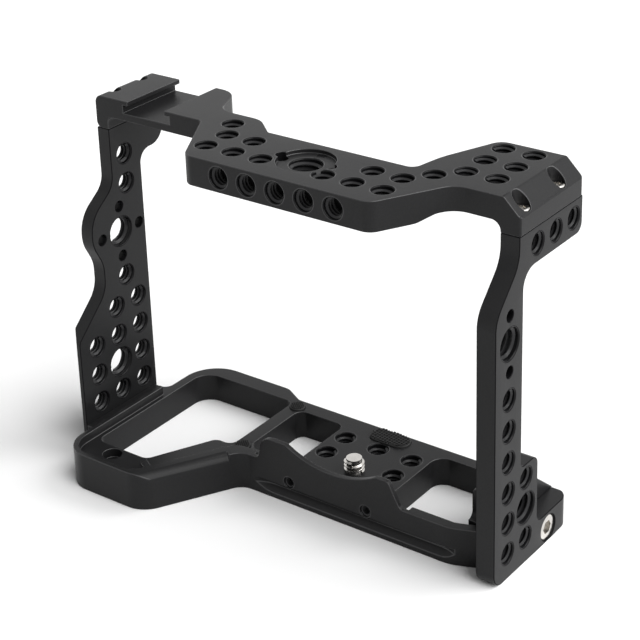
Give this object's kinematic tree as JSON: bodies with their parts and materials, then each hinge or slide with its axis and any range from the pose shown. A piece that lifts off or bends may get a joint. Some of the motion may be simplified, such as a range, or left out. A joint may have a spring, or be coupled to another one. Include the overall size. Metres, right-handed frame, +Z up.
{
  "type": "camera cage",
  "caption": "Machined frame round a camera body, with threaded accessory holes, an accessory shoe, a captive camera screw and rubber pads.",
  "frame": {"origin": "centre of the box of the whole cage, on its underside", "axes": "+Z up, -Y towards the lens side, +X towards the plate on the right in the picture"},
  "size_m": [0.1544, 0.0728, 0.1164],
  "materials": {
    "black_aluminium": "black anodised, fine bead-blasted",
    "bright_steel": "bright machined",
    "black_rubber": "moulded, patterned top",
    "white_nylon": "plain"
  },
  "bodies": {
    "cage": {"top_plate": "black_aluminium", "left_plate": "black_aluminium", "right_plate": "black_aluminium", "base_plate": "black_aluminium", "pad_front": "black_rubber", "pad_rear": "black_rubber", "pad_oval": "black_rubber", "right_top_screw_front": "bright_steel", "right_top_screw_rear": "bright_steel", "left_top_screw_front": "bright_steel", "left_top_screw_rear": "bright_steel", "right_base_screw": "bright_steel", "left_base_screw_front": "bright_steel", "left_base_screw_rear": "bright_steel", "right_top_dowel": "bright_steel", "left_top_dowel": "bright_steel", "right_base_dowel_front": "bright_steel", "right_base_dowel_rear": "bright_steel", "left_base_dowel": "bright_steel"},
    "washer": {"screw_washer": "white_nylon"},
    "screw": {"camera_screw": "bright_steel"}
  },
  "joints": [
    {"name": "screw_slide", "type": "slide", "parent": "cage", "child": "washer", "axis": [0, 0, 1], "range_m": [0, 0.001]},
    {"name": "screw_turn", "type": "hinge", "parent": "washer", "child": "screw", "pos_m": [0.0159, 0.0068, 0.004], "axis": [0, 0, 1], "continuous": true}
  ]
}
